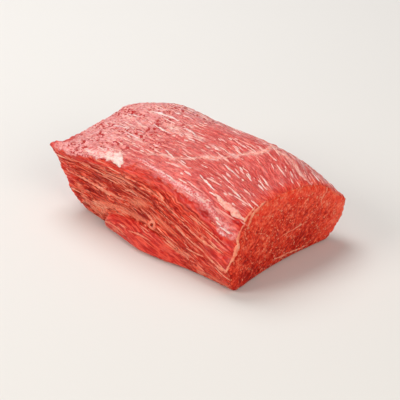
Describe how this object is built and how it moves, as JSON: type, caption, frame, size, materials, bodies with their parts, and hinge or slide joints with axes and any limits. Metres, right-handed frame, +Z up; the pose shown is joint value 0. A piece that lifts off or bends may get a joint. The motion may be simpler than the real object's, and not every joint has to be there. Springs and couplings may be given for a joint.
{
  "type": "lean beef joint",
  "caption": "Block of raw lean beef cut square from the round, lying on its flat underside, with a domed top, a seam along one side, a square cut end and a pointed thin lip.",
  "frame": {"origin": "middle of the block's box, at the height of its flat underside", "axes": "+X along the grain towards the cut end that shows the fibres' ends, +Z up, -Y towards the long side with the seam"},
  "size_m": [0.1248, 0.0784, 0.0419],
  "materials": {
    "raw_beef": "raw lean beef, moist and softly shiny, with pale streaks of fat along the grain"
  },
  "bodies": {
    "root": {"beef_joint": "raw_beef"}
  },
  "joints": []
}
